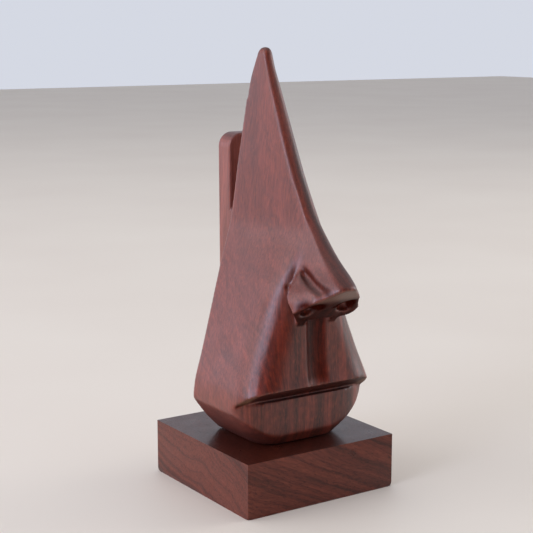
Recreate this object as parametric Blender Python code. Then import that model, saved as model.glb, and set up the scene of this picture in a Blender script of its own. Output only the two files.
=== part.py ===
"""Carved wooden eyeglasses stand: a nose-shaped head on a square base, with a temple rest behind it."""

from math import cos, pi, radians, sin

import bmesh
import bpy
from mathutils import Vector

# Sizes below are in millimetres and are turned to metres where a mesh is made.
MM = 0.001

# The origin is the middle of the base's underside. The face looks along -Y, and +X is the viewer's right.

# Base block
BASE_SIDE = 60.8
BASE_HEIGHT = 19.2
BASE_EDGE = 0.8

# The head stands on the base with a thin gap, as touching pieces do.
GAP = 0.3
FOOT_Z = BASE_HEIGHT + GAP
HEAD_TOP = 154.0
BACK_Y = 10.5

# Head, by height: half-width of the flat back.
BACK_HALF = [(19, 27.2), (33, 27.2), (37, 26.8), (41, 25.9), (47, 24.1), (64, 19.7), (84, 14.5), (94, 11.7),
             (102, 10.3), (116, 8.2), (131, 5.5), (139, 4.1), (146, 2.7), (151, 2.2)]
# Head, by height: half-width where the side and the front would meet if the corner were sharp.
FRONT_HALF = [(19, 27.2), (37, 27.1), (41, 26.3), (54, 21.3), (64, 17.0), (72, 14.2), (84, 8.2), (94, 2.9),
              (102, 2.8), (131, 2.5), (146, 2.2), (151, 2.0)]
# Head, by height: the front of the cheeks and lip, and of the spire's ridge above the nose.
FRONT_Y = [(19, -28.7), (38, -28.5), (41, -27.9), (45, -27.1), (50, -26.5), (62, -26.0), (93, -26.0),
           (102, -21.6), (110, -17.0), (118, -13.0), (131, -6.9), (139, -3.2), (147, 0.4), (151, 1.9)]
# Head, by height: radius of the front corner, from round cheeks to the narrow ridge.
CORNER_RADIUS = [(19, 12.0), (64, 12.0), (74, 10.0), (84, 6.0), (94, 2.2), (131, 2.1), (151, 1.9)]
BACK_CORNER_RADIUS = 0.9
# The spire's back leans forward towards the tip.
SPIRE_BACK_Y = [(140, 10.5), (144, 10.3), (148, 9.0), (151, 7.3)]
TIP_START = 151.0
TIP_RINGS = 4

# The underside flares from the foot to the cheeks like a hull.
# By height above the foot: half-width, y of the front, and radius of the front corners.
HULL_HALF = [(0, 16.4), (3, 19.5), (6, 22.2), (9, 24.5), (13, 27.4), (26, 35.0)]
HULL_FRONT_Y = [(0, -18.8), (3.6, -20.8), (9, -23.4), (26, -31.0)]
HULL_CORNER = [(0, 8.5), (26, 17.0)]
HULL_RISE = 26.0

# Chin and mouth. The chin is set back under the upper lip by a wedge-shaped cut.
CHIN_Y = -20.7
CHIN_HALF = 27.0
CHIN_SET_BACK = 4.7
MOUTH_APEX = (-15.9, 34.2)
MOUTH_CEILING = [(-15.9, 34.3), (-19.0, 36.3), (-21.0, 37.6), (-23.7, 39.1), (-26.4, 40.4), (-29.0, 41.3),
                 (-35.0, 43.0)]
LOWER_LIP_SLOPE = 0.35
CHIN_CUT_SLOPE = 0.45

# Groove between the nose and the upper lip
PHILTRUM_HALF = 4.2
PHILTRUM_DEPTH = 1.6
PHILTRUM_TOP = 67.0

# Nose: by height, the y of its ridge, and the half-width and y of the edge where its side turns back.
NOSE_RIDGE_Y = [(58, -45.7), (75, -45.7), (77.2, -45.0), (80.4, -41.6), (83.8, -37.4), (87.2, -33.6),
                (90.8, -30.2), (94.4, -27.0), (98, -24.2), (101, -21.6)]
# Half-width of the ridge before its edges are rounded, and the radius that rounds them.
NOSE_RIDGE_HALF = [(58, 2.3), (74, 2.3), (78, 2.7), (82, 3.1), (88, 3.1), (94, 3.0), (101, 2.9)]
NOSE_RIDGE_RADIUS = [(58, 4.6), (74, 4.6), (78, 3.8), (82, 3.3), (88, 2.8), (94, 2.3), (101, 2.2)]
NOSE_ROOT_HALF = [(58, 13.6), (68, 13.6), (71, 13.4), (74, 12.3), (77, 10.4), (80.6, 7.8), (83, 6.2),
                  (88, 4.6), (94, 3.4), (101, 2.6)]
NOSE_ROOT_Y = [(58, -32.0), (68, -31.6), (71, -28.6), (74, -27.0), (77, -26.6), (80.6, -26.6), (83, -26.0),
               (88, -24.0), (94, -20.0), (101, -16.0)]
# How far the side of the nose bulges between ridge and root.
NOSE_BULGE = [(58, 1.8), (74, 1.8), (80, 0.5), (84, 0.0), (101, 0.0)]
NOSE_BURIED_Y = -14.0
NOSE_BACK_STEP = 8.0
# The underside of the nose slopes up to the tip, and is steeper behind the nostrils: (y, height) points.
UNDERSIDE = [(-70.0, 92.7), (-31.8, 68.0), (-26.0, 62.0), (-15.0, 55.0)]

# Nostrils
NOSTRIL_CENTRE = (7.0, -33.0, 68.6)
NOSTRIL_RADII = (3.0, 5.0, 3.2)
NOSTRIL_TURN = 22.0

# Crescent gouge that lifts the wing of the nose from its side
GOUGE_POINTS = [(6.6, -27.0, 81.9), (6.8, -28.7, 80.6), (7.3, -31.0, 79.3), (7.8, -33.6, 78.1), (8.0, -36.3, 77.1),
                (7.8, -38.8, 76.3), (7.5, -40.8, 76.0)]
GOUGE_RADIUS = 1.7

# Temple rest: an upright board, held off the head's back by its own foot.
SLOT = 5.7
REST_THICK = 7.8
REST_HALF = 7.6
REST_HALF_LOW = 7.3
REST_TOP = 123.8
REST_BOTTOM = 58.0
REST_CORNER = 5.0
REST_EDGE = 0.8
LEDGE_Z = 97.0
REST_FRONT_Y = BACK_Y + SLOT
REST_BACK_Y = REST_FRONT_Y + REST_THICK

# Wood screws: shank radius, head radius, head depth, length
BASE_SCREW = {"shank": 2.0, "head": 4.0, "depth": 2.6, "length": 36.0, "sink": 1.2}
REST_SCREW = {"shank": 1.75, "head": 3.4, "depth": 2.2, "length": 30.0, "sink": 0.4}
BASE_SCREW_Y = -8.0
REST_SCREW_Z = 77.0
TIP_LENGTH = 5.0
RECESS_WIDTH = 0.9
RECESS_DEPTH = 1.4
HOLE_GAP = 0.3
ROUND_SIDES = 32


def smooth_value(keys, height):
    """Read a smooth curve through (height, value) keys."""
    if height <= keys[0][0]:
        return keys[0][1]
    if height >= keys[-1][0]:
        return keys[-1][1]
    i = 0
    while keys[i + 1][0] < height:
        i += 1
    slopes = []
    for j in (i, i + 1):
        low = keys[max(j - 1, 0)]
        mid = keys[j]
        high = keys[min(j + 1, len(keys) - 1)]
        before = (mid[1] - low[1]) / (mid[0] - low[0]) if mid[0] > low[0] else 0.0
        after = (high[1] - mid[1]) / (high[0] - mid[0]) if high[0] > mid[0] else 0.0
        # A harmonic mean keeps the curve from overshooting its keys.
        slopes.append(2.0 * before * after / (before + after) if before * after > 0.0 else 0.0)
    (z0, v0), (z1, v1) = keys[i], keys[i + 1]
    span = z1 - z0
    t = (height - z0) / span
    return (v0 * (1 + 2 * t) * (1 - t) ** 2 + slopes[0] * span * t * (1 - t) ** 2
            + v1 * t * t * (3 - 2 * t) + slopes[1] * span * t * t * (t - 1))


def round_corner(before, corner, after, radius, steps):
    """Points of an arc that rounds the corner between two straight sides."""
    corner = Vector(corner)
    to_before = (Vector(before) - corner).normalized()
    to_after = (Vector(after) - corner).normalized()
    half = to_before.angle(to_after) / 2
    reach = radius / max(0.05, abs(sin(half) / cos(half)))
    start = corner + to_before * reach
    end = corner + to_after * reach
    centre = corner + (to_before + to_after).normalized() * (radius / sin(half))
    points = []
    for i in range(steps + 1):
        along = start.lerp(end, i / steps)
        points.append(centre + (along - centre).normalized() * radius)
    return points


def mirrored_ring(half_outline, height):
    """Close a half outline, which starts and ends on the middle plane, into a full ring."""
    ring = [(x, y, height) for x, y in half_outline]
    ring += [(-x, y, height) for x, y in reversed(half_outline[1:-1])]
    return ring


def add_loft(bm, rings):
    """Skin a stack of rings and cap both ends."""
    rows = []
    for ring in rings:
        rows.append([bm.verts.new(Vector(point) * MM) for point in ring])
    for lower, upper in zip(rows, rows[1:]):
        count = len(lower)
        for i in range(count):
            j = (i + 1) % count
            bm.faces.new((lower[i], lower[j], upper[j], upper[i]))
    bm.faces.new(rows[0])
    bm.faces.new(rows[-1])
    bmesh.ops.recalc_face_normals(bm, faces=bm.faces)


def new_object(name, bm, material=None, cutter=False):
    """Turn a bmesh into a named object."""
    mesh = bpy.data.meshes.new(name)
    bm.to_mesh(mesh)
    bm.free()
    if material:
        mesh.materials.append(material)
    obj = bpy.data.objects.new(name, mesh)
    bpy.context.scene.collection.objects.link(obj)
    if cutter:
        obj.hide_render = True
        obj.display_type = "WIRE"
    return obj


def loft_object(name, rings, **settings):
    """Make an object from a stack of rings."""
    bm = bmesh.new()
    add_loft(bm, rings)
    return new_object(name, bm, **settings)


def prism_object(name, outline, axis, low, high, **settings):
    """Extrude a flat outline along one axis: X takes (y, z) points and Z takes (x, y) points."""
    rings = []
    for reach in (low, high):
        if axis == "X":
            rings.append([(reach, a, b) for a, b in outline])
        else:
            rings.append([(a, b, reach) for a, b in outline])
    return loft_object(name, rings, **settings)


def boolean(obj, tool, operation="DIFFERENCE"):
    """Cut or join one object with another."""
    step = obj.modifiers.new(f"{operation.lower()} {tool.name}", "BOOLEAN")
    step.object = tool
    step.operation = operation
    step.solver = "EXACT"


def soften(obj, width, segments=2, angle=40.0):
    """Round every edge that is sharper than the given angle."""
    step = obj.modifiers.new("softened edges", "BEVEL")
    step.width = width * MM
    step.segments = segments
    step.limit_method = "ANGLE"
    step.angle_limit = radians(angle)


def make_material(name, colour, roughness, metallic=0.0):
    """One Principled material per piece."""
    material = bpy.data.materials.new(name)
    material.use_nodes = True
    shader = material.node_tree.nodes["Principled BSDF"]
    shader.inputs["Base Color"].default_value = (*colour, 1.0)
    shader.inputs["Roughness"].default_value = roughness
    shader.inputs["Metallic"].default_value = metallic
    return material


def head_ring(height):
    """Outline of the head's main mass at one height."""
    back_y = smooth_value(SPIRE_BACK_Y, height)
    back = (smooth_value(BACK_HALF, height), back_y)
    front = (smooth_value(FRONT_HALF, height), smooth_value(FRONT_Y, height))
    back_radius = min(BACK_CORNER_RADIUS, back[0] * 0.4)
    radius = smooth_value(CORNER_RADIUS, height)
    outline = [(0.0, back_y)]
    outline += [tuple(p) for p in round_corner((0.0, back_y), back, front, back_radius, 2)]
    outline += [tuple(p) for p in round_corner(back, front, (0.0, front[1]), radius, 8)]
    outline.append((0.0, front[1]))
    return mirrored_ring(outline, height)


def head_rings():
    """Stack of outlines from below the foot to the rounded tip."""
    step = 2.75
    count = int((TIP_START - FOOT_Z) / step)
    heights = [FOOT_Z - 1.0] + [FOOT_Z + (TIP_START - FOOT_Z) * i / count for i in range(count + 1)]
    rings = [head_ring(height) for height in heights]
    top = rings[-1]
    middle_y = (top[0][1] + min(point[1] for point in top)) / 2
    for i in range(1, TIP_RINGS + 1):
        angle = radians(80.0) * i / TIP_RINGS
        size = cos(angle)
        height = TIP_START + (HEAD_TOP - TIP_START) * sin(angle) / sin(radians(80.0))
        rings.append([(x * size, middle_y + (y - middle_y) * size, height) for x, y, _ in top])
    return rings


def hull_ring(height):
    """Outline of the flared underside, which is open at the flat back."""
    rise = height - FOOT_Z
    half = smooth_value(HULL_HALF, rise)
    front_y = smooth_value(HULL_FRONT_Y, rise)
    radius = smooth_value(HULL_CORNER, rise)
    outline = [(0.0, BACK_Y + 5.0), (half, BACK_Y + 5.0)]
    outline += [tuple(p) for p in round_corner((half, BACK_Y), (half, front_y), (0.0, front_y), radius, 12)]
    outline.append((0.0, front_y))
    return mirrored_ring(outline, height)


def hull_rings():
    """The flare up to the cheeks, then on past the tip so that it keeps the whole head."""
    rings = [hull_ring(FOOT_Z + HULL_RISE * i / 10) for i in range(11)]
    widest = rings[-1]
    for height in (FOOT_Z + HULL_RISE + 2.0, HEAD_TOP + 5.0):
        rings.append([(x * 3.0, y * 3.0, height) for x, y, _ in widest])
    return rings


def nose_ring(height):
    """Outline of the nose at one height, with its back buried in the head."""
    ridge_y = smooth_value(NOSE_RIDGE_Y, height)
    root = (smooth_value(NOSE_ROOT_HALF, height), smooth_value(NOSE_ROOT_Y, height))
    buried = max(root[0] - NOSE_BACK_STEP, 1.2)
    inner = (buried, root[1] + NOSE_BACK_STEP)
    ridge_half = min(smooth_value(NOSE_RIDGE_HALF, height), root[0] - 0.3)
    ridge = (ridge_half, ridge_y)
    bulge = smooth_value(NOSE_BULGE, height)
    side = ((root[0] + ridge[0]) / 2 + bulge, (root[1] + ridge[1]) / 2 - bulge * 0.6)
    half_angle = Vector((-1.0, 0.0)).angle(Vector(side) - Vector(ridge)) / 2
    radius = min(smooth_value(NOSE_RIDGE_RADIUS, height), ridge_half * 0.93 * sin(half_angle) / cos(half_angle))
    outline = [(0.0, NOSE_BURIED_Y), (buried, NOSE_BURIED_Y), inner]
    outline += [tuple(p) for p in round_corner(inner, root, side, 0.5, 3)]
    outline.append(side)
    outline += [tuple(p) for p in round_corner(side, ridge, (0.0, ridge_y), radius, 6)]
    outline.append((0.0, ridge_y))
    return mirrored_ring(outline, height)


def make_nose():
    """The nose below the spire, with its sloping underside, nostrils and wings."""
    first, last, count = 58.0, 101.0, 26
    bm = bmesh.new()
    add_loft(bm, [nose_ring(first + (last - first) * i / count) for i in range(count + 1)])
    nose = new_object("nose_form", bm, cutter=True)
    below = UNDERSIDE + [(UNDERSIDE[-1][0], 40.0), (UNDERSIDE[0][0], 40.0)]
    boolean(nose, prism_object("underside_cut", below, "X", -30.0, 30.0, cutter=True))
    for side in (-1.0, 1.0):
        boolean(nose, make_nostril(side))
        boolean(nose, make_gouge(side))
    return nose


def make_nostril(side):
    """An oval hollow in the underside of the nose."""
    bm = bmesh.new()
    bmesh.ops.create_uvsphere(bm, u_segments=20, v_segments=12, radius=1.0)
    for vert in bm.verts:
        x, y, z = (vert.co[i] * NOSTRIL_RADII[i] for i in range(3))
        turn = radians(NOSTRIL_TURN) * -side
        x, y = x * cos(turn) - y * sin(turn), x * sin(turn) + y * cos(turn)
        vert.co = Vector((x + NOSTRIL_CENTRE[0] * side, y + NOSTRIL_CENTRE[1], z + NOSTRIL_CENTRE[2])) * MM
    return new_object("nostril_cut", bm, cutter=True)


def make_gouge(side):
    """A shallow curved cut that leaves the wing of the nose standing proud."""
    rings = []
    points = [Vector((x * side, y, z)) for x, y, z in GOUGE_POINTS]
    last = len(points) - 1
    for i, centre in enumerate(points):
        along = (points[min(i + 1, last)] - points[max(i - 1, 0)]).normalized()
        across = along.cross(Vector((side, 0.0, 0.0))).normalized()
        out = across.cross(along).normalized()
        radius = GOUGE_RADIUS * (1.0 if 0 < i < last else 0.5)
        ring = []
        for k in range(16):
            angle = 2 * pi * k / 16
            ring.append(centre + across * (radius * cos(angle)) + out * (radius * sin(angle)))
        rings.append(ring)
    return loft_object("gouge_cut", rings, cutter=True)


def make_chin_cut():
    """The waste in front of the chin, below the mouth."""
    steps = 24
    reach = 28.0
    outline = []
    for i in range(steps + 1):
        x = reach * (2.0 * i / steps - 1.0)
        outline.append((x, CHIN_Y + CHIN_SET_BACK * abs(x / CHIN_HALF) ** 5))
    outline += [(reach, -45.0), (-reach, -45.0)]
    waste = prism_object("chin_cut", outline, "Z", FOOT_Z - 5.0, 60.0, cutter=True)
    apex_y, apex_z = MOUTH_APEX
    far = 50.0
    above = [(apex_y - far, apex_z + far * CHIN_CUT_SLOPE), (apex_y + far, apex_z - far * CHIN_CUT_SLOPE),
             (apex_y + far, 120.0), (apex_y - far, 120.0)]
    boolean(waste, prism_object("chin_cut_top", above, "X", -60.0, 60.0, cutter=True))
    return waste


def make_mouth_cut():
    """The wedge-shaped cut of the mouth, right across the face."""
    apex_y, apex_z = MOUTH_APEX
    reach = 20.0
    outline = [(apex_y, apex_z - 0.05)] + MOUTH_CEILING
    outline.append((apex_y - reach, apex_z + reach * LOWER_LIP_SLOPE))
    return prism_object("mouth_cut", outline, "X", -45.0, 45.0, cutter=True)


def make_philtrum_cut():
    """A hollow groove down the upper lip, which follows the lip's face."""
    radius = (PHILTRUM_HALF ** 2 + PHILTRUM_DEPTH ** 2) / (2 * PHILTRUM_DEPTH)
    rings = []
    for i in range(9):
        height = 30.0 + (PHILTRUM_TOP - 30.0) * i / 8
        centre_y = smooth_value(FRONT_Y, height) + PHILTRUM_DEPTH - radius
        ring = []
        for k in range(13):
            angle = radians(-60.0 + 10.0 * k)
            ring.append((radius * sin(angle), centre_y + radius * cos(angle), height))
        rings.append(ring)
    return loft_object("philtrum_cut", rings, cutter=True)


def screw_profile(screw, grow=0.0):
    """Radius and distance from the head's flat top, down to the point."""
    shank = screw["shank"] + grow
    head = screw["head"] + grow
    rim = 0.35
    return [(0.0, -grow), (head, -grow), (head, rim), (shank, rim + screw["depth"] - 0.35 + grow),
            (shank, screw["length"] - TIP_LENGTH), (shank * 0.35, screw["length"] + grow),
            (0.0, screw["length"] + grow + 0.01)]


def turned_object(name, profile, start, direction, **settings):
    """Turn a profile round an axis that starts at a point and runs in a direction."""
    along = Vector(direction).normalized()
    across = along.orthogonal().normalized()
    other = along.cross(across)
    bm = bmesh.new()
    rows = []
    for radius, reach in profile:
        centre = Vector(start) + along * reach
        if radius < 1e-6:
            rows.append([bm.verts.new(centre * MM)])
            continue
        row = []
        for k in range(ROUND_SIDES):
            angle = 2 * pi * k / ROUND_SIDES
            row.append(bm.verts.new((centre + (across * cos(angle) + other * sin(angle)) * radius) * MM))
        rows.append(row)
    for lower, upper in zip(rows, rows[1:]):
        for k in range(ROUND_SIDES):
            j = (k + 1) % ROUND_SIDES
            if len(lower) == 1:
                bm.faces.new((lower[0], upper[k], upper[j]))
            elif len(upper) == 1:
                bm.faces.new((lower[k], lower[j], upper[0]))
            else:
                bm.faces.new((lower[k], lower[j], upper[j], upper[k]))
    bmesh.ops.recalc_face_normals(bm, faces=bm.faces)
    return new_object(name, bm, **settings)


def recess_cut(name, start, direction, wide):
    """A cross-shaped driver recess."""
    along = Vector(direction).normalized()
    across = along.orthogonal().normalized()
    other = along.cross(across)
    arm = RECESS_WIDTH / 2
    outline = []
    for quarter in range(4):
        turn = quarter * pi / 2
        for a, b in ((wide, -arm), (wide, arm), (arm, arm)):
            outline.append((a * cos(turn) - b * sin(turn), a * sin(turn) + b * cos(turn)))
    rings = []
    for reach, size in ((-1.0, 1.0), (RECESS_DEPTH, 0.7)):
        centre = Vector(start) + along * reach
        rings.append([centre + across * (a * size) + other * (b * size) for a, b in outline])
    return loft_object(name, rings, cutter=True)


def add_screw(name, screw, start, direction, material, holes):
    """A countersunk wood screw, with clearance holes in the pieces that it passes through."""
    body = turned_object(name, screw_profile(screw), start, direction, material=material)
    boolean(body, recess_cut(name + "_recess", start, direction, screw["head"] * 0.55))
    mouth = Vector(start) - Vector(direction).normalized() * (screw["sink"] + 2.0)
    wall = screw_profile(screw, HOLE_GAP)
    head = screw["head"] + HOLE_GAP
    wall = [(0.0, 0.0), (head, 0.0)] + [(radius, reach + screw["sink"] + 2.0) for radius, reach in wall[2:]]
    for piece in holes:
        boolean(piece, turned_object(name + "_hole", wall, mouth, direction, cutter=True))
    return body


def make_head(material):
    """The carved head."""
    head = loft_object("nose_head", head_rings(), material=material)
    boolean(head, make_nose(), "UNION")
    boolean(head, loft_object("hull_form", hull_rings(), cutter=True), "INTERSECT")
    boolean(head, make_mouth_cut())
    boolean(head, make_chin_cut())
    boolean(head, make_philtrum_cut())
    return head


def make_base(material):
    """The square block."""
    half = BASE_SIDE / 2
    outline = [(-half, -half), (half, -half), (half, half), (-half, half)]
    base = prism_object("base_block", outline, "Z", 0.0, BASE_HEIGHT, material=material)
    soften(base, BASE_EDGE, 3)
    return base


def make_temple_rest(material):
    """An upright board with round top corners, and a foot that holds it off the head."""
    lowest = [(-REST_HALF_LOW, REST_BOTTOM), (REST_HALF_LOW, REST_BOTTOM)]
    right = round_corner(lowest[1], (REST_HALF, REST_TOP), (0.0, REST_TOP), REST_CORNER, 8)
    left = [(-x, z) for x, z in reversed([tuple(p) for p in right])]
    outline = lowest + [tuple(p) for p in right] + left
    bm = bmesh.new()
    add_loft(bm, [[(x, y, z) for x, z in outline] for y in (REST_FRONT_Y, REST_BACK_Y)])
    ledge = Vector((0.0, 0.0, LEDGE_Z)) * MM
    bmesh.ops.bisect_plane(bm, geom=bm.verts[:] + bm.edges[:] + bm.faces[:], plane_co=ledge,
                           plane_no=(0.0, 0.0, 1.0))
    front = [face for face in bm.faces if face.normal.y < -0.9 and face.calc_center_median().z < LEDGE_Z * MM]
    grown = bmesh.ops.extrude_face_region(bm, geom=front)
    foot = [item for item in grown["geom"] if isinstance(item, bmesh.types.BMVert)]
    bmesh.ops.delete(bm, geom=front, context="FACES_ONLY")
    bmesh.ops.translate(bm, verts=foot, vec=Vector((0.0, BACK_Y + GAP - REST_FRONT_Y, 0.0)) * MM)
    bmesh.ops.recalc_face_normals(bm, faces=bm.faces)
    board = new_object("temple_rest", bm, material=material)
    soften(board, REST_EDGE, 2)
    return board


def main():
    for obj in list(bpy.data.objects):
        bpy.data.objects.remove(obj, do_unlink=True)
    head = make_head(make_material("carved_rosewood", (0.19, 0.055, 0.04), 0.3))
    base = make_base(make_material("base_rosewood", (0.11, 0.035, 0.03), 0.3))
    rest = make_temple_rest(make_material("rest_rosewood", (0.17, 0.05, 0.035), 0.35))
    base_steel = make_material("base_screw_steel", (0.55, 0.55, 0.56), 0.35, 1.0)
    add_screw("base_screw", BASE_SCREW, (0.0, BASE_SCREW_Y, BASE_SCREW["sink"]), (0.0, 0.0, 1.0), base_steel,
              (base, head))
    rest_steel = make_material("rest_screw_steel", (0.58, 0.57, 0.55), 0.35, 1.0)
    add_screw("rest_screw", REST_SCREW, (0.0, REST_BACK_Y - REST_SCREW["sink"], REST_SCREW_Z),
              (0.0, -1.0, 0.0), rest_steel, (rest, head))
    for piece in (head, base, rest):
        piece.data.shade_smooth()
        piece.data.set_sharp_from_angle(angle=radians(30.0))


main()
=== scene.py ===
from math import radians

import bpy
import numpy as np
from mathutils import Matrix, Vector


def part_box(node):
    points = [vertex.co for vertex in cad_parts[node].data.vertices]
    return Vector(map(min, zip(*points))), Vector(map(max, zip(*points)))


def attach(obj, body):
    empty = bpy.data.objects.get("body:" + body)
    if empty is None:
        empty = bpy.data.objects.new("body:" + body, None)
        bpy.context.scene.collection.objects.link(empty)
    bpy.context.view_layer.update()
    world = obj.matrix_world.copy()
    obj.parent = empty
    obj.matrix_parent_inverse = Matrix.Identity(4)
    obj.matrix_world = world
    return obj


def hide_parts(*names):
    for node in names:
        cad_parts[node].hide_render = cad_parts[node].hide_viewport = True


# Carved wooden stand for a pair of glasses: a nose-shaped head on a square base, with a board behind it.
# Metres, +Z up, the face looks along -Y.

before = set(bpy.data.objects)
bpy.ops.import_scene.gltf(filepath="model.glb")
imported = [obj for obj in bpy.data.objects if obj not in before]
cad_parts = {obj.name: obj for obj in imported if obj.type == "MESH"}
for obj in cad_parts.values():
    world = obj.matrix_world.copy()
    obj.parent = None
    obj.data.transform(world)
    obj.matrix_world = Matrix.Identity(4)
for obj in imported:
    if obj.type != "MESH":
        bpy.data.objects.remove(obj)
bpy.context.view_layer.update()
bpy.context.scene.view_settings.view_transform = "Standard"

mm = 0.001
toMm = (1000.0, 1000.0, 1000.0)                   # the scale that turns metres into mm


# working on meshes

def deselectAll():
    if bpy.context.mode != "OBJECT":
        bpy.ops.object.mode_set(mode="OBJECT")
    bpy.ops.object.select_all(action="DESELECT")


def makeActive(obj):
    deselectAll()
    obj.select_set(True)
    bpy.context.view_layer.objects.active = obj


def applyModifier(obj, kind, **settings):
    makeActive(obj)
    modifier = obj.modifiers.new(kind.lower(), kind)
    for key, value in settings.items():
        setattr(modifier, key, value)
    bpy.ops.object.modifier_apply(modifier=modifier.name)


def copyOfNode(node, name):
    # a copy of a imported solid, with its loose triangles joined up
    obj = bpy.data.objects.new(name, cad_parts[node].data.copy())
    obj.data.name = name
    obj.data.materials.clear()
    bpy.context.scene.collection.objects.link(obj)
    makeActive(obj)
    bpy.ops.object.mode_set(mode="EDIT")
    bpy.ops.mesh.select_all(action="SELECT")
    bpy.ops.mesh.remove_doubles(threshold=0.00001)
    bpy.ops.mesh.normals_make_consistent(inside=False)
    bpy.ops.object.mode_set(mode="OBJECT")
    return obj


def ramp01(value, low, high):
    # 0 below low, 1 above high, eased between; also works with low above high
    t = min(1.0, max(0.0, (value - low) / (high - low)))
    return t * t * (3 - 2 * t)


# working on materials

def linearColour(hexText):
    channels = [int(hexText[i:i + 2], 16) / 255 for i in (1, 3, 5)]
    return tuple(c / 12.92 if c <= 0.04045 else ((c + 0.055) / 1.055) ** 2.4 for c in channels) + (1.0,)


def addNode(owner, kind, links=None, inputs=None, **settings):
    # one node with its settings, in a material or the world; links are {input: (node, output)}
    node = owner.node_tree.nodes.new("ShaderNode" + kind)
    for key, value in settings.items():
        setattr(node, key, value)
    for key, value in (inputs or {}).items():
        node.inputs[key].default_value = value
    for key, (source, output) in (links or {}).items():
        owner.node_tree.links.new(source.outputs[output], node.inputs[key])
    return node


def setStops(rampNode, stops):
    elements = rampNode.color_ramp.elements
    while len(elements) < len(stops):
        elements.new(0.5)
    for element, (place, colour) in zip(elements, stops):
        element.position = place
        element.color = linearColour(colour) if isinstance(colour, str) else (colour, colour, colour, 1.0)
    return rampNode


def startMaterial(name):
    material = bpy.data.materials.new(name)
    material.use_nodes = True
    return material, material.node_tree.nodes["Principled BSDF"]


# the woods

headWood = {
    "name": "rosewoodCarvedSatinLacquer",
    "along": (0.05, 0.06, 1.0),                   # which way the grain runs
    "outward": (0.955, -0.294, 0.0),              # which way the growth rings face
    "pithAway": -81.6,                            # mm from the origin to the middle of the rings
    "bandSpacing": 3.0,                           # mm between dark bands
    "ringFace": (0.0, -1.0, 0.0),                 # faces turned this way show the bands as streaks
    "bandStrength": (0.4, 0.9),                   # on the other faces, and on those
    "plain": "#824036", "pale": "#84392a", "middle": "#66291d", "dark": "#37140e",
    "fleck": "#a04c2b", "fleckStrength": 0.32,
    "pore": "#3a1a15", "poreStrength": 0.32,
    "figure": (0.0, -1.0, -0.62), "figureStrength": 0.16,
    # the pale colour under the nose tip and at the lip's corners is end grain with painted light from below
    # on it
    "endGrain": 0.5, "paleEndWithPaintedLight": "#7d5a46",        # how dark cut end grain is, and where it stays pale
    "rubbed": "#8f5440", "rubbedStrength": 0.3,   # the carved tones
    # the tint and strength of the painted red shade at the cheek corners and under the hull
    "paintedRedShadeTint": "#ffc08c", "paintedRedShadeStrength": 0.75,
    # the colour of the painted shade in the hollows
    "paintedShadeTint": "#9a7a70",
    "roughness": (0.32, 0.44), "coat": 0.4, "coatRoughness": 0.3, "ior": 1.45,
    "bumpPore": 0.02, "bumpWave": 0.05,           # mm
}

baseWood = {
    "name": "rosewoodSawnGlossLacquer",
    "along": (1.0, 0.2, -0.42),
    "outward": (0.45, -0.25, 1.0),
    "pithAway": 260.0,
    "bandSpacing": 2.4,
    "ringFace": (0.0, 0.0, 1.0),
    "bandStrength": (0.9, 0.15),
    "plain": "#38130c", "pale": "#7e3c2c", "middle": "#682e22", "dark": "#4a2118",
    "fleck": "#84402a", "fleckStrength": 0.2,
    "pore": "#1b0b08", "poreStrength": 0.45,
    "figure": (1.0, 0.6, -0.9), "figureStrength": 0.05,
    "endGrain": 0.9, "paleEndWithPaintedLight": "#85624d",
    "rubbed": "#7d4a38", "rubbedStrength": 0.3,
    "paintedRedShadeTint": "#ffffff", "paintedRedShadeStrength": 0.75,
    "paintedShadeTint": "#ffffff",
    "roughness": (0.26, 0.36), "coat": 0.3, "coatRoughness": 0.1, "ior": 1.33,
    "bumpPore": 0.02, "bumpWave": 0.03,
}

# the board behind is planed, paler and without strong bands
restWood = dict(headWood, name="rosewoodPlanedSatinLacquer", pithAway=-95.0, bandSpacing=2.8,
                plain="#955249", pale="#9f5444", middle="#844236", along=(0.03, -0.05, 1.0),
                bandStrength=(0.35, 0.5), figureStrength=0.05)

grainMarks = {                                    # noise cells per mm: across, across and along the grain
    "wander": (0.045, 0.045, 0.014),              # slow drift, 22 mm wide and 70 mm long
    "fibres": (1.6, 1.6, 0.045),                  # 0.6 mm wide and 22 mm long
    "flecks": (2.4, 2.4, 0.42),                   # 0.4 mm wide and 2.4 mm long
    "pores": (4.0, 4.0, 0.16),                    # 0.25 mm wide and 6 mm long, coarser than life, to show
    "ripple": (0.5, 0.5, 0.06),                   # 2 mm apart, along its own direction
    "patches": 0.12, "waves": 0.16,               # sheen and sanding, 8 mm and 6 mm across
    "wanderReach": 11.0,                          # mm
}


def turnGrain(direction):
    # the turn that lays a direction along local Z
    return Vector(direction).rotation_difference(Vector((0.0, 0.0, 1.0))).to_euler()


def wanderingGrain(material, grain):
    # the grain drifts slowly from side to side, so that no band is straight
    wanderPlace = addNode(material, "Mapping", {"Vector": (grain, "Vector")}, {"Scale": grainMarks["wander"]})
    wander = addNode(material, "TexNoise", {"Vector": (wanderPlace, "Vector")},
                     {"Scale": 1.0, "Detail": 3.0, "Roughness": 0.5})
    centred = addNode(material, "VectorMath", {0: (wander, "Color")}, {1: (0.5, 0.5, 0.5)},
                      operation="SUBTRACT")
    shift = addNode(material, "VectorMath", {0: (centred, "Vector")}, {"Scale": grainMarks["wanderReach"]},
                    operation="SCALE")
    return addNode(material, "VectorMath", {0: (grain, "Vector"), 1: (shift, "Vector")}, operation="ADD")


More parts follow.
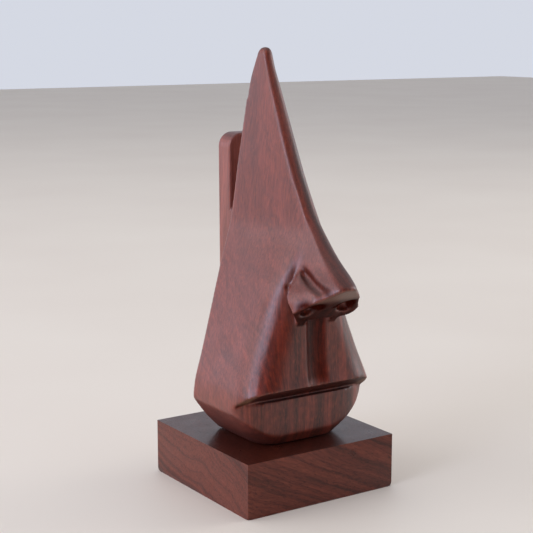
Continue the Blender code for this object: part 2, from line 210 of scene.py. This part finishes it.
def ringBands(material, wood, place, wandered):
    # growth bands: their coordinate is the distance from the pith, and slowly the height
    pith = Vector(wood["outward"])
    pith.rotate(turnGrain(wood["along"]))
    pith = pith.normalized() * -wood["pithAway"]
    split = addNode(material, "SeparateXYZ", {"Vector": (wandered, "Vector")})
    fromPithX = addNode(material, "Math", {0: (split, "X")}, {1: pith.x}, operation="SUBTRACT")
    fromPithY = addNode(material, "Math", {0: (split, "Y")}, {1: pith.y}, operation="SUBTRACT")
    flat = addNode(material, "CombineXYZ", {"X": (fromPithX, "Value"), "Y": (fromPithY, "Value")})
    radius = addNode(material, "VectorMath", {0: (flat, "Vector")}, operation="LENGTH")
    slowHeight = addNode(material, "Math", {0: (split, "Z")}, {1: 0.03}, operation="MULTIPLY")
    ringPlace = addNode(material, "CombineXYZ", {"X": (radius, "Value"), "Z": (slowHeight, "Value")})
    bands = addNode(material, "TexNoise", {"Vector": (ringPlace, "Vector")},
                    {"Scale": 1.0 / wood["bandSpacing"], "Detail": 5.0, "Roughness": 0.62, "Lacunarity": 2.1})
    bandShape = setStops(addNode(material, "ValToRGB", {"Fac": (bands, "Fac")}),
                         [(0.36, 0.0), (0.47, 0.35), (0.56, 0.8), (0.66, 1.0)])
    colour = setStops(addNode(material, "ValToRGB", {"Fac": (bandShape, "Color")}),
                      [(0.0, wood["dark"]), (0.5, wood["middle"]), (1.0, wood["pale"])])

    # they are clear on the faces cut across the rings, and faint or strong on the others
    facing = addNode(material, "VectorMath", {0: (place, "Normal")}, {1: wood["ringFace"]},
                     operation="DOT_PRODUCT")
    bandLevel = addNode(material, "MapRange", {"Value": (facing, "Value")},
                        {"From Min": 0.35, "From Max": 0.8, "To Min": wood["bandStrength"][0],
                         "To Max": wood["bandStrength"][1]}, interpolation_type="SMOOTHSTEP")
    return addNode(material, "Mix", {0: (bandLevel, "Result"), 7: (colour, "Color")},
                   {6: linearColour(wood["plain"])}, data_type="RGBA")


def fineGrain(material, wood, wandered, bare):
    # fine fibres, lighter and darker
    fibrePlace = addNode(material, "Mapping", {"Vector": (wandered, "Vector")},
                         {"Scale": grainMarks["fibres"]})
    fibres = addNode(material, "TexNoise", {"Vector": (fibrePlace, "Vector")},
                     {"Scale": 1.0, "Detail": 2.0, "Roughness": 0.6})
    fibreTone = setStops(addNode(material, "ValToRGB", {"Fac": (fibres, "Fac")}), [(0.3, 0.72), (0.7, 1.2)])
    streaked = addNode(material, "Mix", {6: (bare, 2), 7: (fibreTone, "Color")}, {0: 1.0},
                       data_type="RGBA", blend_type="MULTIPLY")

    # orange flecks, where the fibres turn and catch the light
    fleckPlace = addNode(material, "Mapping", {"Vector": (wandered, "Vector")},
                         {"Scale": grainMarks["flecks"]})
    flecks = addNode(material, "TexNoise", {"Vector": (fleckPlace, "Vector")},
                     {"Scale": 1.0, "Detail": 2.0, "Roughness": 0.5})
    fleckMask = setStops(addNode(material, "ValToRGB", {"Fac": (flecks, "Fac")}),
                         [(0.5, 0.0), (0.7, wood["fleckStrength"])])
    flecked = addNode(material, "Mix", {0: (fleckMask, "Color"), 6: (streaked, 2)},
                      {7: linearColour(wood["fleck"])}, data_type="RGBA")

    # dark open pores
    porePlace = addNode(material, "Mapping", {"Vector": (wandered, "Vector")}, {"Scale": grainMarks["pores"]})
    pores = addNode(material, "TexNoise", {"Vector": (porePlace, "Vector")},
                    {"Scale": 1.0, "Detail": 1.0, "Roughness": 0.4})
    poreMask = setStops(addNode(material, "ValToRGB", {"Fac": (pores, "Fac")}),
                        [(0.58, 0.0), (0.68, wood["poreStrength"])])
    pored = addNode(material, "Mix", {0: (poreMask, "Color"), 6: (flecked, 2)},
                    {7: linearColour(wood["pore"])}, data_type="RGBA")
    return pored, fibres, poreMask


def crossRipple(material, wood, place, pored):
    # a faint ripple across the grain, which shows low on the cheeks
    rippleTurn = addNode(material, "Mapping", {"Vector": (place, "Object")},
                         {"Rotation": turnGrain(wood["figure"]), "Scale": toMm})
    ripplePlace = addNode(material, "Mapping", {"Vector": (rippleTurn, "Vector")},
                          {"Scale": grainMarks["ripple"]})
    ripple = addNode(material, "TexNoise", {"Vector": (ripplePlace, "Vector")},
                     {"Scale": 1.0, "Detail": 2.0, "Roughness": 0.5, "Distortion": 0.3})
    rippleTone = addNode(material, "MapRange", {"Value": (ripple, "Fac")},
                         {"From Min": 0.35, "From Max": 0.65, "To Min": 1.0 - wood["figureStrength"],
                          "To Max": 1.0 + wood["figureStrength"]})
    rawPlace = addNode(material, "SeparateXYZ", {"Vector": (place, "Object")})
    lowDown = addNode(material, "MapRange", {"Value": (rawPlace, "Z")},
                      {"From Min": 0.095, "From Max": 0.06, "To Min": 0.15, "To Max": 1.0})
    return addNode(material, "Mix", {0: (lowDown, "Result"), 6: (pored, 2), 7: (rippleTone, "Result")},
                   data_type="RGBA", blend_type="MULTIPLY")


def endGrain(material, wood, place, rippled):
    # end grain drinks the lacquer, so faces across the grain are darker and duller
    facing = addNode(material, "VectorMath", {0: (place, "Normal")},
                     {1: tuple(Vector(wood["along"]).normalized())}, operation="DOT_PRODUCT")
    across = addNode(material, "Math", {0: (facing, "Value")}, operation="ABSOLUTE")
    endFactor = addNode(material, "MapRange", {"Value": (across, "Value")},
                        {"From Min": 0.35, "From Max": 0.85, "To Min": 0.0, "To Max": 1.0},
                        interpolation_type="SMOOTHSTEP")
    endTone = addNode(material, "MapRange", {"Value": (endFactor, "Result")},
                      {"To Min": 1.0, "To Max": wood["endGrain"]})
    cut = addNode(material, "Mix", {6: (rippled, 2), 7: (endTone, "Result")}, {0: 1.0}, data_type="RGBA",
                  blend_type="MULTIPLY")
    return cut, endFactor


def carvedTones(material, wood, cut):
    # tones that follow the carving, from values painted on the mesh: painted dark red shade at the cheek
    # corners, paler rubbed edges, painted shade in the hollows, and pale cut ends with painted light from
    # below on them; a piece without them stays plain
    # painted shade that darkens the colour and makes it redder
    paintedRedShade = addNode(material, "Attribute", attribute_name="paintedRedShade")
    paintedRedShadeMask = addNode(material, "Math", {0: (paintedRedShade, "Fac")}, {1: wood["paintedRedShadeStrength"]}, operation="MULTIPLY")
    withPaintedRedShade = addNode(material, "Mix", {0: (paintedRedShadeMask, "Value"), 6: (cut, 2)},
                     {7: linearColour(wood["paintedRedShadeTint"])}, data_type="RGBA", blend_type="MULTIPLY")
    edge = addNode(material, "Attribute", attribute_name="rubbedEdge")
    edgeMask = addNode(material, "Math", {0: (edge, "Fac")}, {1: wood["rubbedStrength"]},
                       operation="MULTIPLY")
    worn = addNode(material, "Mix", {0: (edgeMask, "Value"), 6: (withPaintedRedShade, 2)},
                   {7: linearColour(wood["rubbed"])}, data_type="RGBA")
    # painted shade in the hollows, multiplied into the colour
    paintedShade = addNode(material, "Attribute", attribute_name="paintedShade")
    withPaintedShade = addNode(material, "Mix", {0: (paintedShade, "Fac"), 6: (worn, 2)},
                      {7: linearColour(wood["paintedShadeTint"])}, data_type="RGBA", blend_type="MULTIPLY")
    # pale end grain, partly painted light from the table below
    pale = addNode(material, "Attribute", attribute_name="paleEndWithPaintedLight")
    toned = addNode(material, "Mix", {0: (pale, "Fac"), 6: (withPaintedShade, 2)},
                    {7: linearColour(wood["paleEndWithPaintedLight"])}, data_type="RGBA")
    return toned, paintedShade


def woodRoughness(material, wood, grain, poreMask, endFactor):
    # uneven sheen, with pores and end grain a little duller
    patches = addNode(material, "TexNoise", {"Vector": (grain, "Vector")},
                      {"Scale": grainMarks["patches"], "Detail": 3.0, "Roughness": 0.55})
    sheen = addNode(material, "MapRange", {"Value": (patches, "Fac")},
                    {"From Min": 0.3, "From Max": 0.7, "To Min": wood["roughness"][0],
                     "To Max": wood["roughness"][1]})
    dullPores = addNode(material, "Math", {0: (poreMask, "Color"), 2: (sheen, "Result")}, {1: 0.25},
                        operation="MULTIPLY_ADD")
    return addNode(material, "Math", {0: (endFactor, "Result"), 2: (dullPores, "Value")},
                   {1: 0.5 * (1.0 - wood["endGrain"])}, operation="MULTIPLY_ADD")


def woodBumps(material, wood, grain, fibres, poreMask):
    # hand sanding leaves slow waves, and the pores are fine furrows
    waves = addNode(material, "TexNoise", {"Vector": (grain, "Vector")},
                    {"Scale": grainMarks["waves"], "Detail": 2.0, "Roughness": 0.5})
    waveBump = addNode(material, "Bump", {"Height": (waves, "Fac")},
                       {"Strength": 1.0, "Distance": wood["bumpWave"] * mm})
    fibreBump = addNode(material, "Bump", {"Height": (fibres, "Fac"), "Normal": (waveBump, "Normal")},
                        {"Strength": 0.6, "Distance": 0.012 * mm})
    return addNode(material, "Bump", {"Height": (poreMask, "Color"), "Normal": (fibreBump, "Normal")},
                   {"Strength": 1.0, "Distance": wood["bumpPore"] * mm}, invert=True)


def makeRosewood(wood):
    # Rosewood, cut and sanded, under a thin clear lacquer: growth bands, short orange flecks and dark open
    # pores along the grain, and a soft sheen over them.
    material, shader = startMaterial(wood["name"])
    place = addNode(material, "TexCoord")
    grain = addNode(material, "Mapping", {"Vector": (place, "Object")},
                    {"Rotation": turnGrain(wood["along"]), "Scale": toMm})   # mm, Z along the grain
    wandered = wanderingGrain(material, grain)
    bare = ringBands(material, wood, place, wandered)
    pored, fibres, poreMask = fineGrain(material, wood, wandered, bare)
    rippled = crossRipple(material, wood, place, pored)
    cut, endFactor = endGrain(material, wood, place, rippled)
    toned, paintedShade = carvedTones(material, wood, cut)
    roughness = woodRoughness(material, wood, grain, poreMask, endFactor)
    bump = woodBumps(material, wood, grain, fibres, poreMask)

    # the painted shade also takes the specular shine and the coat away deep in the hollows
    shine = addNode(material, "MapRange", {"Value": (paintedShade, "Fac")}, {"To Min": 0.5, "To Max": 0.0})
    coated = addNode(material, "MapRange", {"Value": (paintedShade, "Fac")},
                     {"To Min": wood["coat"], "To Max": 0.0})

    for output, socket in ((toned.outputs[2], "Base Color"),
                           (roughness.outputs["Value"], "Roughness"),
                           (bump.outputs["Normal"], "Normal"),
                           (shine.outputs["Result"], "Specular IOR Level"),
                           (coated.outputs["Result"], "Coat Weight")):
        material.node_tree.links.new(output, shader.inputs[socket])
    shader.inputs["IOR"].default_value = wood["ior"]
    shader.inputs["Coat Roughness"].default_value = wood["coatRoughness"]
    shader.inputs["Coat IOR"].default_value = wood["ior"]
    return material


# zinc-plated steel wood screws: a cool bright metal, cloudy in places, with fine scratches
screwSteel = {
    "bright": "#c9cbd0", "dull": "#8e9096",
    "roughness": (0.25, 0.45),
    "clouds": 0.9, "scratches": 6.0,              # cells per mm
}


def makeScrewSteel(steel, name):
    material, shader = startMaterial(name)
    place = addNode(material, "TexCoord")
    inMm = addNode(material, "Mapping", {"Vector": (place, "Object")}, {"Scale": toMm})
    cloud = addNode(material, "TexNoise", {"Vector": (inMm, "Vector")},
                    {"Scale": steel["clouds"], "Detail": 4.0})
    scratch = addNode(material, "TexNoise", {"Vector": (inMm, "Vector")},
                      {"Scale": steel["scratches"], "Detail": 2.0})
    tone = setStops(addNode(material, "ValToRGB", {"Fac": (cloud, "Fac")}),
                    [(0.35, steel["dull"]), (0.65, steel["bright"])])
    rough = addNode(material, "MapRange", {"Value": (scratch, "Fac")},
                    {"From Min": 0.3, "From Max": 0.7, "To Min": steel["roughness"][0],
                     "To Max": steel["roughness"][1]})
    bump = addNode(material, "Bump", {"Height": (scratch, "Fac")}, {"Strength": 0.5, "Distance": 0.01 * mm})
    for output, socket in ((tone.outputs["Color"], "Base Color"), (rough.outputs["Result"], "Roughness"),
                           (bump.outputs["Normal"], "Normal")):
        material.node_tree.links.new(output, shader.inputs[socket])
    shader.inputs["Metallic"].default_value = 1.0
    return material


# values painted on the head's vertices, and weights for sanding it

def weighVertices(obj, name, weightAt):
    # a vertex group whose weight comes from each vertex's place and normal, in mm
    group = obj.vertex_groups.new(name=name)
    buckets = {}
    for vertex in obj.data.vertices:
        weight = round(min(1.0, max(0.0, weightAt(vertex.co / mm, vertex.normal))), 2)
        if weight > 0.0:
            buckets.setdefault(weight, []).append(vertex.index)
    for weight, indices in buckets.items():
        group.add(indices, weight, "REPLACE")


def edgePairs(obj):
    pairs = np.zeros(len(obj.data.edges) * 2, np.int32)
    obj.data.edges.foreach_get("vertices", pairs)
    return pairs.reshape(-1, 2)


def vertexRows(items, field):
    # one row of three numbers for each vertex
    rows = np.zeros(len(items) * 3)
    items.foreach_get(field, rows)
    return rows.reshape(-1, 3)


def blurValues(values, pairs, rounds):
    # each round moves a vertex's value halfway to the mean of its neighbours
    count = len(values)
    starts, ends = pairs[:, 0], pairs[:, 1]
    degree = np.bincount(pairs.ravel(), minlength=count)
    for _ in range(rounds):
        total = np.bincount(starts, values[ends], count) + np.bincount(ends, values[starts], count)
        values = 0.5 * values + 0.5 * total / degree
    return values


def storeValues(obj, name, values):
    attribute = obj.data.attributes.new(name, "FLOAT", "POINT")
    attribute.data.foreach_set("value", np.clip(values, 0.0, 1.0).astype(np.float32))


def paintVertices(obj, name, valueAt, rounds):
    values = np.array([valueAt(v.co / mm, v.normal) for v in obj.data.vertices], np.float32)
    storeValues(obj, name, blurValues(values, edgePairs(obj), rounds))


def paintRubbedEdges(obj, strength):
    # how far each vertex stands proud of its neighbours: 1 on the sharpest outer edges
    pairs = edgePairs(obj)
    places = vertexRows(obj.data.vertices, "co") / mm
    normals = vertexRows(obj.data.vertex_normals, "vector")
    smooth = np.stack([blurValues(places[:, axis], pairs, 3) for axis in range(3)], axis=1)
    proud = np.clip(((places - smooth) * normals).sum(1) * strength, 0.0, 1.0)
    storeValues(obj, "rubbedEdge", blurValues(proud, pairs, 1))


def pullPlace(obj, centre, reach, move):
    # moves what is near a point, less and less towards the edge of its reach
    centre = Vector(centre) * mm
    for vertex in obj.data.vertices:
        far = (vertex.co - centre).length / (reach * mm)
        if far < 1.0:
            vertex.co += Vector(move) * mm * (1.0 - far * far) ** 2


head = {
    "voxel": 0.48,           # mm, fine enough for the carved edges
    # rounds of sanding
    "sandAll": 4,            # all over
    "sandOpen": 40,          # the open surfaces
    "sandWing": 16,          # the plump wings of the nose
    "sandGouge": 18,         # the upper side of each gouge, which runs softly into the nose
    "sandFold": 320,         # the sides, where the spire runs into the cheek
    "sandValley": 95,        # where the nose runs into the cheeks
    "sandLast": 2,           # all over, after the marks
    # knife and sanding marks, and the fullness of the wings: place, reach and move, in mm
    "marks": [((13.4, -29.0, 66.0), 6.0, (0.8, 0.3, -1.6)),
              ((-10.4, -24.2, 75.4), 1.3, (0.5, 0.9, 0.0)),
              ((-12.3, -30.3, 73.2), 5.5, (-0.7, -0.3, 0.0)),
              ((12.3, -30.3, 73.2), 5.5, (0.7, -0.3, 0.0))],
    "nostril": (7.0, -33.0, 68.6),                # mm, the middle of each nostril, and its mirror image
    "edgeWear": 6.0,         # how soon a proud edge counts as rubbed
}

# The areas of the head. Every number is a place on the carving in mm, or part of a surface's normal, and each
# pair in ramp01 is where an area starts and where it is full.


def undersideAt(y):
    # height of the nose's cut underside, which rises towards the tip
    return 68.0 - (y + 31.8) * 0.65


def gougeAt(y):
    # height of the gouge between the wing and the nose's side, which falls towards the tip
    return 81.9 + 0.4275 * (y + 27.0)


def openSurface(place, normal):
    # 1 on the sanded cheeks, spire and nose ridge; 0 near the knife-cut mouth, chin, groove and underside
    x, y, z = place
    weight = 1.0
    if y < -12.0:
        weight = max(ramp01(z, 44.0, 50.0), ramp01(abs(x), 22.5, 25.5) * ramp01(y, -19.0, -15.0))
    if abs(x) < 7.0 and y < -22.0 and z < 70.0:
        weight = min(weight, ramp01(abs(x), 5.0, 7.0))
    under = undersideAt(y)
    if y < -22.0 and abs(x) < 18.0 and 50.0 < z < under + 3.0:
        weight = min(weight, ramp01(z, under + 1.2, under + 3.0) if y < -27.0 else 0.0)
    gouge = gougeAt(y)
    if y < -22.0 and 4.0 < abs(x) < 14.0 and 68.0 < z < 84.5:
        weight = min(weight, ramp01(z, gouge + 0.6, gouge + 2.4))
    if z < 24.0:
        weight *= ramp01(z, 20.5, 24.0)
    if y > 8.5 and z < 136.0:
        weight = 0.0
    return weight * (1.0 - 0.8 * ramp01(z, 146.0, 150.0))


def wingSurface(place, normal):
    # the middle of each wing of the nose, inside its cut edges
    x, y, z = place
    under = undersideAt(y)
    gouge = gougeAt(y)
    inside = ramp01(z, under + 0.8, under + 2.2) * ramp01(z, gouge - 1.7, gouge - 2.9)
    return inside * ramp01(y, -25.6, -26.8) * ramp01(abs(x), 6.0, 7.5) * ramp01(z, 82.0, 80.0)


def gougeUpperSide(place, normal):
    # from the bottom of the gouge up on to the side of the nose
    x, y, z = place
    gouge = gougeAt(y)
    inside = ramp01(z, gouge - 0.8, gouge) * ramp01(z, gouge + 6.0, gouge + 4.0)
    return inside * ramp01(y, -25.0, -26.5) * ramp01(y, -43.5, -42.0) * ramp01(abs(x), 3.0, 4.5)


def foldSurface(place, normal):
    # the flat sides, at the height where the spire turns into the cheek
    x, y, z = place
    side = ramp01(abs(normal[0]), 0.8, 0.9) * ramp01(y, 7.5, 4.0)
    return side * ramp01(z, 78.0, 86.0) * ramp01(z, 110.0, 102.0)


def valleySurface(place, normal):
    # the hollow where the nose runs into the cheek, above the wing
    x, y, z = place
    side = ramp01(abs(x), 3.0, 4.5) * ramp01(abs(x), 12.5, 9.0)
    return side * ramp01(z, 79.5, 84.0) * ramp01(z, 108.0, 96.0) * ramp01(y, -13.0, -17.0)


def paintedShadePlace(place, normal):
    # painted shade in the recesses: the groove over the lip, the gouge, the nostrils, under the nose, and the
    # mouth
    x, y, z = place
    nx, ny, nz = normal
    groove = ramp01(abs(x), 4.6, 3.6) * ramp01(z, 71.0, 66.0) * ramp01(z, 41.0, 44.0)
    groove *= 0.7 * ramp01(y, -20.0, -22.0)
    gouge = ramp01(abs(z - gougeAt(y) + 0.2), 1.5, 0.7) * ramp01(y, -25.5, -27.5) * ramp01(y, -42.0, -40.0)
    gouge *= 0.8 * ramp01(abs(x), 4.5, 5.5) * ramp01(abs(x), 11.0, 9.5)
    toNostril = (Vector((abs(x), y, z)) - Vector(head["nostril"])).length
    nostril = ramp01(toNostril, 6.8, 5.0) * ramp01(z, 74.0, 71.5) * ramp01(ny, -0.75, -0.55)
    under = ramp01(-nz, 0.2, 0.5) * ramp01(z, 58.0, 60.0) * ramp01(z, 76.0, 72.0) * ramp01(y, -40.5, -35.0)
    under = 0.8 * under if y < -22.0 else 0.0
    mouth = ramp01(-nz, 0.05, 0.4) * ramp01(z, 33.5, 34.5) * ramp01(z, 43.5, 42.0) * ramp01(y, -13.0, -15.5)
    mouth = 0.7 * mouth if ny > -0.8 else 0.0
    return max(groove, gouge, nostril, under, mouth)


def paintedRedShadePlace(place, normal):
    # painted shade, darker and redder, on the faces just inside the front corners of the cheeks and on the
    # downward faces low on the hull
    x, y, z = place
    nx, ny, nz = normal
    corner = ramp01(abs(nx), 0.08, 0.3) * ramp01(abs(nx), 0.85, 0.6) * ramp01(-ny, 0.3, 0.6)
    cheek = corner * ramp01(z, 80.0, 62.0) * ramp01(z, 39.0, 42.0)
    hull = ramp01(-nz, 0.1, 0.35) * ramp01(z, 26.0, 18.0) * 0.8
    return max(cheek, hull)


def paleEndWithPaintedLightPlace(place, normal):
    # cut end grain under the tip of the nose and at the lip's corners, which takes less stain, with painted
    # glints of light from the table below on these downward faces
    x, y, z = place
    down = ramp01(-normal[2], 0.35, 0.6)
    tip = 0.45 * down * ramp01(y, -36.5, -40.0) * ramp01(z, 66.0, 70.0)
    corner = 0.8 * down * ramp01(abs(x), 21.5, 24.0) * ramp01(z, 35.0, 37.0) * ramp01(z, 44.0, 42.5)
    return max(tip, corner if y < -14.0 else 0.0)


def buildHead(material):
    piece = copyOfNode("nose_head", "noseHeadCarved")
    applyModifier(piece, "REMESH", mode="VOXEL", voxel_size=head["voxel"] * mm, adaptivity=0.0)
    applyModifier(piece, "SMOOTH", factor=0.5, iterations=head["sandAll"])
    for name, areaAt in (("sandOpen", openSurface), ("sandWing", wingSurface), ("sandGouge", gougeUpperSide),
                         ("sandFold", foldSurface), ("sandValley", valleySurface)):
        weighVertices(piece, name, areaAt)
        applyModifier(piece, "SMOOTH", factor=0.5, iterations=head[name], vertex_group=name)
    piece.vertex_groups.clear()
    print("head sanded")

    for centre, reach, move in head["marks"]:
        pullPlace(piece, centre, reach, move)
    applyModifier(piece, "SMOOTH", factor=0.5, iterations=head["sandLast"])
    # painted shade in the recesses: the groove, the gouge, the nostrils, under the nose and the mouth
    paintVertices(piece, "paintedShade", paintedShadePlace, rounds=2)
    # pale end grain with painted glints of light from below
    paintVertices(piece, "paleEndWithPaintedLight", paleEndWithPaintedLightPlace, rounds=2)
    # painted dark red shade at the cheek corners and low on the hull
    paintVertices(piece, "paintedRedShade", paintedRedShadePlace, rounds=12)
    paintRubbedEdges(piece, head["edgeWear"])
    makeActive(piece)
    bpy.ops.object.shade_smooth()
    piece.data.materials.append(material)
    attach(piece, "root")
    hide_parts("nose_head")
    print("head:", len(piece.data.polygons), "faces")


base = {                                          # mm
    "cornerRound": 1.5,                           # bottom corners worn round
    "edgeRound": 0.55,                            # every other edge
    "screwPlace": (0.0, -8.0),
    # the countersunk screw hole, from below: bottom radius, top radius, middle height and depth of each cut
    "screwHole": [(2.3, 2.3, 10.0, 30.0), (4.3, 4.3, -1.0, 5.0), (4.3, 2.3, 2.75, 2.5)],
}


def buildBase(material):
    low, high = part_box("base_block")
    deselectAll()
    bpy.ops.mesh.primitive_cube_add(size=1.0, location=(low + high) / 2, scale=high - low)
    piece = bpy.context.active_object
    piece.name = piece.data.name = "baseBlockLacquered"
    bpy.ops.object.transform_apply(location=True, rotation=True, scale=True)

    # round off the four bottom corners
    bpy.ops.object.mode_set(mode="EDIT")
    bpy.ops.mesh.select_all(action="DESELECT")
    bpy.ops.mesh.select_mode(type="VERT")
    bpy.ops.object.mode_set(mode="OBJECT")
    for vertex in piece.data.vertices:
        vertex.select = vertex.co.z < low.z + mm
    bpy.ops.object.mode_set(mode="EDIT")
    bpy.ops.mesh.bevel(offset=base["cornerRound"] * mm, segments=3, affect="VERTICES", profile=0.5)
    bpy.ops.object.mode_set(mode="OBJECT")

    x, y = base["screwPlace"]
    for bottom, top, middle, depth in base["screwHole"]:
        deselectAll()
        bpy.ops.mesh.primitive_cone_add(vertices=48, radius1=bottom * mm, radius2=top * mm, depth=depth * mm,
                                        location=(x * mm, y * mm, middle * mm))
        cutter = bpy.context.active_object
        applyModifier(piece, "BOOLEAN", object=cutter, operation="DIFFERENCE", solver="EXACT")
        bpy.data.objects.remove(cutter)
    applyModifier(piece, "BEVEL", width=base["edgeRound"] * mm, segments=3, limit_method="ANGLE",
                  angle_limit=radians(35))
    makeActive(piece)
    bpy.ops.object.shade_smooth_by_angle(angle=radians(40))
    piece.data.materials.append(material)
    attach(piece, "root")
    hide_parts("base_block")
    print("base:", len(piece.data.polygons), "faces")


# floor, light and camera

studio = {
    "floorPale": "#f6eadb", "floorDim": "#f2e5d6", "floorRoughness": 0.55,
    "floorClouds": 6.0,                           # cells per metre
    "roomColour": "#dde1ec",
    "roomStrength": 0.92, "frontStrength": 0.06,  # the room is dim in front of the face
    "ceilingShare": 0.6,                          # and its ceiling is darker than its walls
    # name, place, aim, width and height in metres, watts, colour
    "lights": [("windowLeft", (-1.05, 0.3, 0.72), (0.0, 0.0, 0.07), (1.0, 0.8), 4.5, "#f4f6ff"),
               ("windowFront", (-1.15, -0.27, 0.33), (0.0, 0.0, 0.07), (0.45, 0.5), 5.5, "#d4dfff"),
               ("wallGlow", (-0.85, 1.0, 0.16), (0.0, 0.0, 0.07), (1.0, 0.7), 2.0, "#dfe6ff"),
               ("fillRight", (1.2, -0.3, 0.45), (0.0, 0.0, 0.07), (0.7, 0.7), 4.6, "#ffffff"),
               ("topSoft", (0.0, 0.4, 1.5), (0.0, 0.2, 0.0), (1.4, 1.4), 4.5, "#ffffff")],
    "camera": (-252.37, -372.23, 159.6),          # mm
    "back": (-0.548, -0.817, 0.179),              # from the object to the camera
    "lens": 87.8,
}


def addFloor():
    deselectAll()
    bpy.ops.mesh.primitive_plane_add(size=6.0, location=(0, 0, 0))
    floor = bpy.context.active_object
    floor.name = "tableTop"
    material, shader = startMaterial("tablePalePainted")
    place = addNode(material, "TexCoord")
    cloud = addNode(material, "TexNoise", {"Vector": (place, "Object")},
                    {"Scale": studio["floorClouds"], "Detail": 2.0})
    tone = setStops(addNode(material, "ValToRGB", {"Fac": (cloud, "Fac")}),
                    [(0.3, studio["floorDim"]), (0.7, studio["floorPale"])])
    material.node_tree.links.new(tone.outputs["Color"], shader.inputs["Base Color"])
    shader.inputs["Roughness"].default_value = studio["floorRoughness"]
    floor.data.materials.append(material)


def addSoftLight(name, place, aim, size, power, colour):
    light = bpy.data.lights.new(name, "AREA")
    light.shape = "RECTANGLE"
    light.size, light.size_y = size
    light.energy = power
    light.color = linearColour(colour)[:3]
    obj = bpy.data.objects.new(name, light)
    bpy.context.scene.collection.objects.link(obj)
    obj.location = place
    obj.visible_camera = False
    obj.rotation_euler = (Vector(aim) - Vector(place)).to_track_quat("-Z", "Y").to_euler()


def addRoom():
    world = bpy.data.worlds.new("studioRoom")
    bpy.context.scene.world = world
    world.use_nodes = True
    background = world.node_tree.nodes["Background"]
    background.inputs["Color"].default_value = linearColour(studio["roomColour"])
    direction = addNode(world, "TexCoord")
    levels = []
    for towards, start, full, atStart, atFull in (
            ((-0.33, -0.94, 0.0), 0.45, 0.85, studio["roomStrength"], studio["frontStrength"]),
            ((0.0, 0.0, 1.0), 0.25, 0.9, 1.0, studio["ceilingShare"])):
        dot = addNode(world, "VectorMath", {0: (direction, "Generated")}, {1: towards},
                      operation="DOT_PRODUCT")
        levels.append(addNode(world, "MapRange", {"Value": (dot, "Value")},
                              {"From Min": start, "From Max": full, "To Min": atStart, "To Max": atFull},
                              interpolation_type="SMOOTHSTEP"))
    both = addNode(world, "Math", {0: (levels[0], "Result"), 1: (levels[1], "Result")}, operation="MULTIPLY")
    world.node_tree.links.new(both.outputs["Value"], background.inputs["Strength"])


def addCamera():
    cameraData = bpy.data.cameras.new("standCamera")
    cameraData.lens = studio["lens"]
    cameraData.sensor_width = 36.0
    cameraData.clip_start = 0.01
    camera = bpy.data.objects.new("standCamera", cameraData)
    bpy.context.scene.collection.objects.link(camera)
    camera.location = Vector(studio["camera"]) * mm
    camera.rotation_euler = (-Vector(studio["back"])).to_track_quat("-Z", "Y").to_euler()
    bpy.context.scene.camera = camera


addFloor()
addRoom()
for lightValues in studio["lights"]:
    addSoftLight(*lightValues)
addCamera()
print("studio ready")

buildHead(makeRosewood(headWood))
buildBase(makeRosewood(baseWood))
for node, material in (("temple_rest", makeRosewood(restWood)),
                       ("base_screw", makeScrewSteel(screwSteel, "steelTurnedZincPlatedBase")),
                       ("rest_screw", makeScrewSteel(screwSteel, "steelTurnedZincPlatedRest"))):
    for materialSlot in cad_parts[node].material_slots:
        materialSlot.material = material
    print("finished", node)
